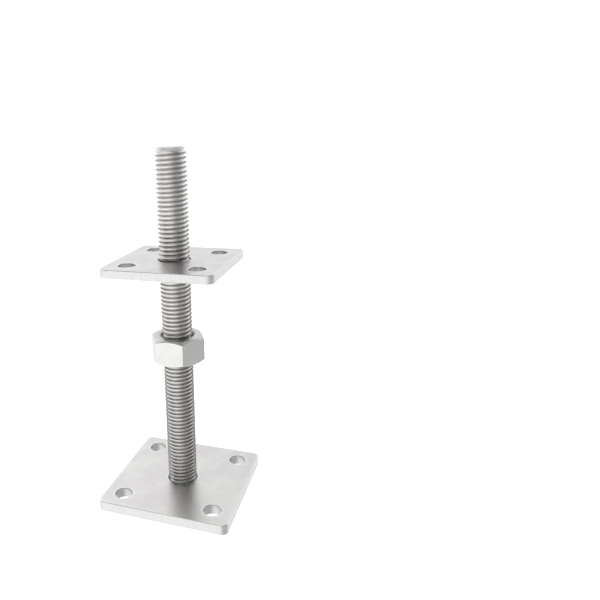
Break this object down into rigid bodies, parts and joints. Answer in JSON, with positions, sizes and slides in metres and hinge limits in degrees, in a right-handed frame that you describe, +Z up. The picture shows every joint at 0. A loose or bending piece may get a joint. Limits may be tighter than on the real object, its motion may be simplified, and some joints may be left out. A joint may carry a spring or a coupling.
{
  "type": "adjustable post base",
  "caption": "Square steel base plate with an upright threaded rod, a hexagon nut that sets the height, and a smaller sliding plate that carries a timber post.",
  "frame": {"origin": "middle of the base plate's underside", "axes": "+Z up along the rod, +X and +Y along the plates' sides"},
  "size_m": [0.1, 0.1, 0.258],
  "materials": {
    "plate_steel": "satin zinc plating",
    "rod_steel": "satin zinc plating",
    "weld_metal": "zinc plating over a weld bead",
    "nut_steel": "satin zinc plating"
  },
  "bodies": {
    "base": {"base_plate": "plate_steel", "threaded_rod": "rod_steel", "rod_weld": "weld_metal"},
    "nut": {"height_nut": "nut_steel"},
    "plate": {"top_plate": "plate_steel"}
  },
  "joints": [
    {"name": "nut_height", "type": "slide", "parent": "base", "child": "nut", "axis": [0, 0, 1], "range_m": [-0.0997, 0.074]},
    {"name": "plate_lift", "type": "slide", "parent": "nut", "child": "plate", "axis": [0, 0, 1], "range_m": [-0.0495, 0.081]}
  ]
}
